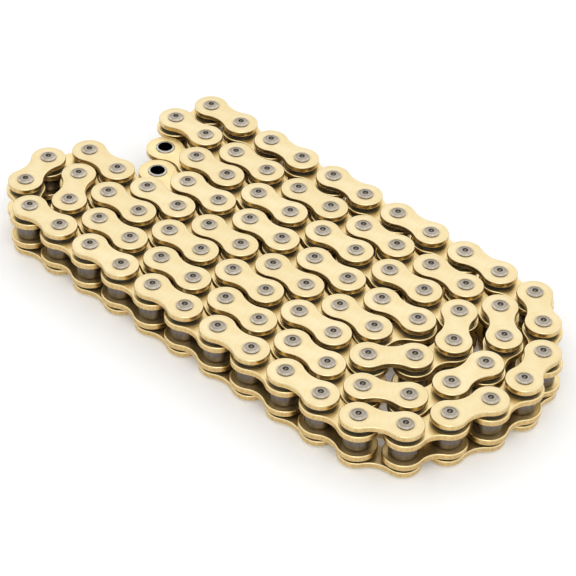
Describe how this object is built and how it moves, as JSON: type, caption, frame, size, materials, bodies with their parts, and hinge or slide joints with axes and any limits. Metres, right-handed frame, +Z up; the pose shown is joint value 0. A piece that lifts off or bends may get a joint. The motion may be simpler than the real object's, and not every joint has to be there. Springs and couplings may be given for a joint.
{
  "type": "motorcycle drive chain",
  "caption": "Sealed roller drive chain for a motorcycle, lying folded on its side, with open inner links at both free ends.",
  "frame": {"origin": "on the surface that the chain lies on, under the middle of the folded lay", "axes": "+Z up, along the chain's upright pins; +X along the folds; +Y across the folds, towards the rear of the lay"},
  "size_m": [0.2182, 0.1078, 0.0203],
  "materials": {
    "outer_plate_gold": "pale gold-plated pressed steel, tumbled edges",
    "inner_plate_gold": "gold-plated pressed steel, tumbled edges",
    "pin_steel": "bright steel with riveted, dimpled heads",
    "bush_steel": "ground steel",
    "roller_steel": "dark heat-treated steel, lightly oiled",
    "seal_rubber": "black greased rubber"
  },
  "bodies": {
    "laid_chain": {"outer_plates_top": "outer_plate_gold", "outer_plates_bottom": "outer_plate_gold", "inner_plates_top": "inner_plate_gold", "inner_plates_bottom": "inner_plate_gold", "riveted_pins": "pin_steel", "bushes": "bush_steel", "rollers": "roller_steel", "seal_rings_top": "seal_rubber", "seal_rings_bottom": "seal_rubber"},
    "front_roller_01": {"front_roller_01": "roller_steel"},
    "front_roller_02": {"front_roller_02": "roller_steel"},
    "front_roller_03": {"front_roller_03": "roller_steel"},
    "front_roller_04": {"front_roller_04": "roller_steel"},
    "front_roller_05": {"front_roller_05": "roller_steel"},
    "front_roller_06": {"front_roller_06": "roller_steel"},
    "front_roller_07": {"front_roller_07": "roller_steel"},
    "front_roller_08": {"front_roller_08": "roller_steel"},
    "front_roller_09": {"front_roller_09": "roller_steel"},
    "front_roller_10": {"front_roller_10": "roller_steel"},
    "front_roller_11": {"front_roller_11": "roller_steel"},
    "front_roller_12": {"front_roller_12": "roller_steel"},
    "front_roller_13": {"front_roller_13": "roller_steel"},
    "front_roller_14": {"front_roller_14": "roller_steel"},
    "front_roller_15": {"front_roller_15": "roller_steel"},
    "front_roller_16": {"front_roller_16": "roller_steel"},
    "front_roller_17": {"front_roller_17": "roller_steel"},
    "front_roller_18": {"front_roller_18": "roller_steel"},
    "front_roller_19": {"front_roller_19": "roller_steel"},
    "front_roller_20": {"front_roller_20": "roller_steel"},
    "end_a_link": {"end_a_inner_plate_top": "inner_plate_gold", "end_a_inner_plate_bottom": "inner_plate_gold", "end_a_open_bush": "bush_steel", "end_a_hinge_bush": "bush_steel"},
    "end_a_open_roller": {"end_a_open_roller": "roller_steel"},
    "end_a_hinge_roller": {"end_a_hinge_roller": "roller_steel"},
    "end_b_link": {"end_b_inner_plate_top": "inner_plate_gold", "end_b_inner_plate_bottom": "inner_plate_gold", "end_b_open_bush": "bush_steel", "end_b_hinge_bush": "bush_steel"},
    "end_b_open_roller": {"end_b_open_roller": "roller_steel"},
    "end_b_hinge_roller": {"end_b_hinge_roller": "roller_steel"}
  },
  "joints": [
    {"name": "front_roller_01_spin", "type": "hinge", "parent": "laid_chain", "child": "front_roller_01", "pos_m": [0.06086, 0.04541, 0.01013], "axis": [0, 0, 1], "continuous": true},
    {"name": "front_roller_02_spin", "type": "hinge", "parent": "laid_chain", "child": "front_roller_02", "pos_m": [0.07673, 0.04527, 0.01013], "axis": [0, 0, 1], "continuous": true},
    {"name": "front_roller_03_spin", "type": "hinge", "parent": "laid_chain", "child": "front_roller_03", "pos_m": [0.08853, 0.03465, 0.01013], "axis": [0, 0, 1], "continuous": true},
    {"name": "front_roller_04_spin", "type": "hinge", "parent": "laid_chain", "child": "front_roller_04", "pos_m": [0.09808, 0.02197, 0.01013], "axis": [0, 0, 1], "continuous": true},
    {"name": "front_roller_05_spin", "type": "hinge", "parent": "laid_chain", "child": "front_roller_05", "pos_m": [0.10193, 0.00657, 0.01013], "axis": [0, 0, 1], "continuous": true},
    {"name": "front_roller_06_spin", "type": "hinge", "parent": "laid_chain", "child": "front_roller_06", "pos_m": [0.09999, -0.00919, 0.01013], "axis": [0, 0, 1], "continuous": true},
    {"name": "front_roller_07_spin", "type": "hinge", "parent": "laid_chain", "child": "front_roller_07", "pos_m": [0.09456, -0.02411, 0.01013], "axis": [0, 0, 1], "continuous": true},
    {"name": "front_roller_08_spin", "type": "hinge", "parent": "laid_chain", "child": "front_roller_08", "pos_m": [0.0876, -0.03837, 0.01013], "axis": [0, 0, 1], "continuous": true},
    {"name": "front_roller_09_spin", "type": "hinge", "parent": "laid_chain", "child": "front_roller_09", "pos_m": [0.07358, -0.04583, 0.01013], "axis": [0, 0, 1], "continuous": true},
    {"name": "front_roller_10_spin", "type": "hinge", "parent": "laid_chain", "child": "front_roller_10", "pos_m": [0.05773, -0.04666, 0.01013], "axis": [0, 0, 1], "continuous": true},
    {"name": "front_roller_11_spin", "type": "hinge", "parent": "laid_chain", "child": "front_roller_11", "pos_m": [0.04186, -0.04652, 0.01013], "axis": [0, 0, 1], "continuous": true},
    {"name": "front_roller_12_spin", "type": "hinge", "parent": "laid_chain", "child": "front_roller_12", "pos_m": [0.02598, -0.04638, 0.01013], "axis": [0, 0, 1], "continuous": true},
    {"name": "front_roller_13_spin", "type": "hinge", "parent": "laid_chain", "child": "front_roller_13", "pos_m": [0.01011, -0.04624, 0.01013], "axis": [0, 0, 1], "continuous": true},
    {"name": "front_roller_14_spin", "type": "hinge", "parent": "laid_chain", "child": "front_roller_14", "pos_m": [-0.00577, -0.0461, 0.01013], "axis": [0, 0, 1], "continuous": true},
    {"name": "front_roller_15_spin", "type": "hinge", "parent": "laid_chain", "child": "front_roller_15", "pos_m": [-0.02164, -0.04597, 0.01013], "axis": [0, 0, 1], "continuous": true},
    {"name": "front_roller_16_spin", "type": "hinge", "parent": "laid_chain", "child": "front_roller_16", "pos_m": [-0.03751, -0.04583, 0.01013], "axis": [0, 0, 1], "continuous": true},
    {"name": "front_roller_17_spin", "type": "hinge", "parent": "laid_chain", "child": "front_roller_17", "pos_m": [-0.05339, -0.04569, 0.01013], "axis": [0, 0, 1], "continuous": true},
    {"name": "front_roller_18_spin", "type": "hinge", "parent": "laid_chain", "child": "front_roller_18", "pos_m": [-0.06926, -0.04555, 0.01013], "axis": [0, 0, 1], "continuous": true},
    {"name": "front_roller_19_spin", "type": "hinge", "parent": "laid_chain", "child": "front_roller_19", "pos_m": [-0.08514, -0.04541, 0.01013], "axis": [0, 0, 1], "continuous": true},
    {"name": "front_roller_20_spin", "type": "hinge", "parent": "laid_chain", "child": "front_roller_20", "pos_m": [-0.09782, -0.03586, 0.01013], "axis": [0, 0, 1], "continuous": true},
    {"name": "end_a_link_pivot", "type": "hinge", "parent": "laid_chain", "child": "end_a_link", "pos_m": [-0.06291, 0.01867, 0.01013], "axis": [0, 0, 1], "range_deg": [-2.25, 1.25]},
    {"name": "end_a_open_roller_spin", "type": "hinge", "parent": "end_a_link", "child": "end_a_open_roller", "pos_m": [-0.07878, 0.01812, 0.01013], "axis": [0, 0, 1], "continuous": true},
    {"name": "end_a_hinge_roller_spin", "type": "hinge", "parent": "end_a_link", "child": "end_a_hinge_roller", "pos_m": [-0.06291, 0.01867, 0.01013], "axis": [0, 0, 1], "continuous": true},
    {"name": "end_b_link_pivot", "type": "hinge", "parent": "laid_chain", "child": "end_b_link", "pos_m": [-0.05456, 0.00544, 0.01013], "axis": [0, 0, 1], "range_deg": [-1, 2.5]},
    {"name": "end_b_open_roller_spin", "type": "hinge", "parent": "end_b_link", "child": "end_b_open_roller", "pos_m": [-0.07043, 0.00558, 0.01013], "axis": [0, 0, 1], "continuous": true},
    {"name": "end_b_hinge_roller_spin", "type": "hinge", "parent": "end_b_link", "child": "end_b_hinge_roller", "pos_m": [-0.05456, 0.00544, 0.01013], "axis": [0, 0, 1], "continuous": true}
  ]
}
